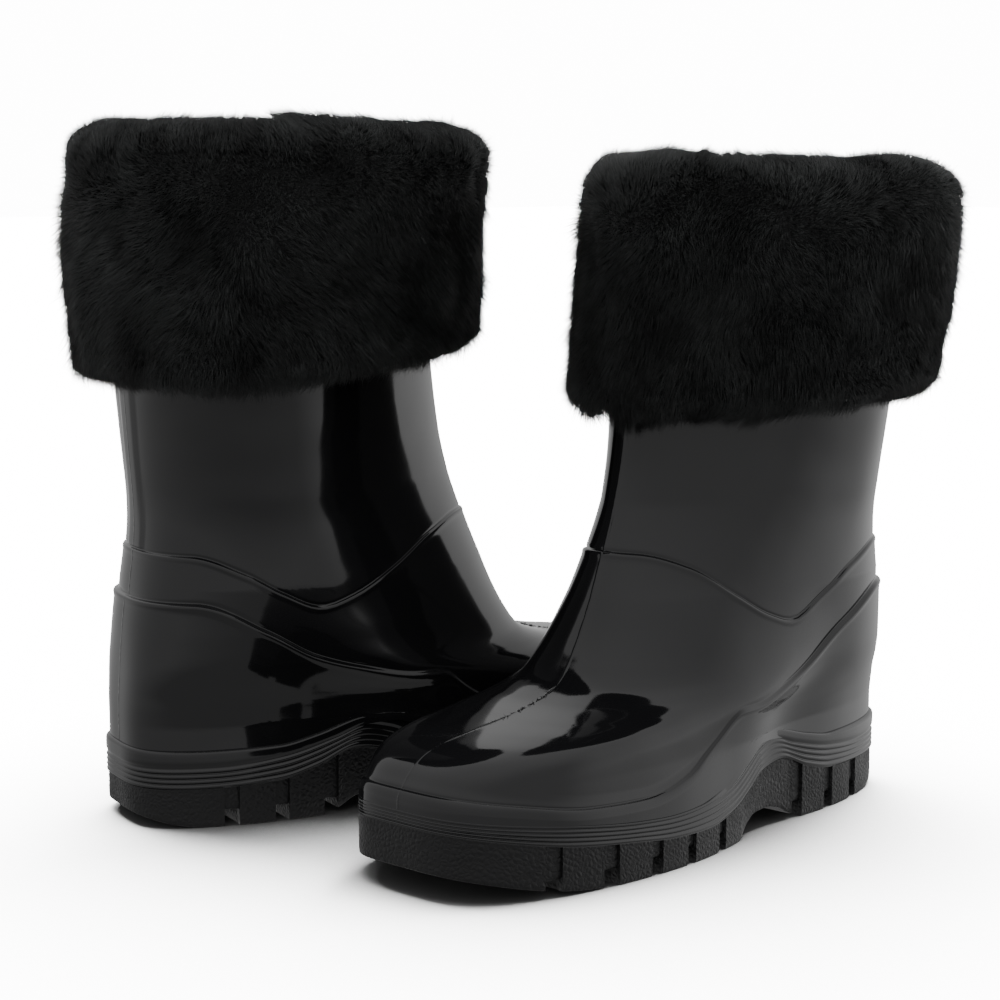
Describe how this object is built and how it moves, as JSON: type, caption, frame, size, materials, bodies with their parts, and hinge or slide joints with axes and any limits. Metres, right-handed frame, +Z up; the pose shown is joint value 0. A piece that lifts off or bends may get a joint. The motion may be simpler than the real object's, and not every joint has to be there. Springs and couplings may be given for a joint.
{
  "type": "fur-cuffed wellington boots",
  "caption": "Pair of short glossy moulded rain boots with cleated soles, each with a deep turned-down fur cuff that lifts off.",
  "frame": {"origin": "centre of the pair's footprint, on the ground", "axes": "+X along the pair's longest side, from the right boot's heel towards the left boot's heel; +Y towards the right boot; +Z up"},
  "size_m": [0.2485, 0.2084, 0.22],
  "materials": {
    "shell_pvc": "high-gloss moulded black PVC",
    "sole_pvc": "satin black PVC, leather-grained on the tread blocks' sides",
    "knit_lining": "black knitted sock lining",
    "insole_board": "pressed fibre board",
    "footbed_foam": "soft closed-cell foam",
    "footbed_cloth": "brushed black cloth",
    "heel_core": "matt filler block",
    "fur_pile": "long black synthetic fur with a soft cool sheen",
    "fur_backing": "black warp-knit ground cloth",
    "hem_tape": "black woven binding tape"
  },
  "bodies": {
    "left_boot": {"left_outsole": "sole_pvc", "left_upper": "shell_pvc", "left_knit_lining": "knit_lining", "left_insole_board": "insole_board", "left_footbed": "footbed_foam", "left_footbed_cover": "footbed_cloth", "left_heel_insert": "heel_core"},
    "left_cuff": {"left_cuff_fur": "fur_pile", "left_cuff_backing": "fur_backing", "left_cuff_hem_tape": "hem_tape", "left_sleeve_hem_tape": "hem_tape"},
    "right_boot": {"right_outsole": "sole_pvc", "right_upper": "shell_pvc", "right_knit_lining": "knit_lining", "right_insole_board": "insole_board", "right_footbed": "footbed_foam", "right_footbed_cover": "footbed_cloth", "right_heel_insert": "heel_core"},
    "right_cuff": {"right_cuff_fur": "fur_pile", "right_cuff_backing": "fur_backing", "right_cuff_hem_tape": "hem_tape", "right_sleeve_hem_tape": "hem_tape"}
  },
  "joints": [
    {"name": "left_cuff_slide", "type": "slide", "parent": "left_boot", "child": "left_cuff", "axis": [0, 0, 1], "range_m": [0, 0.11]},
    {"name": "right_boot_slide_away", "type": "slide", "parent": "left_boot", "child": "right_boot", "axis": [0, 1, 0], "range_m": [0, 0.3]},
    {"name": "right_cuff_slide", "type": "slide", "parent": "right_boot", "child": "right_cuff", "axis": [0, 0, 1], "range_m": [0, 0.11]}
  ]
}
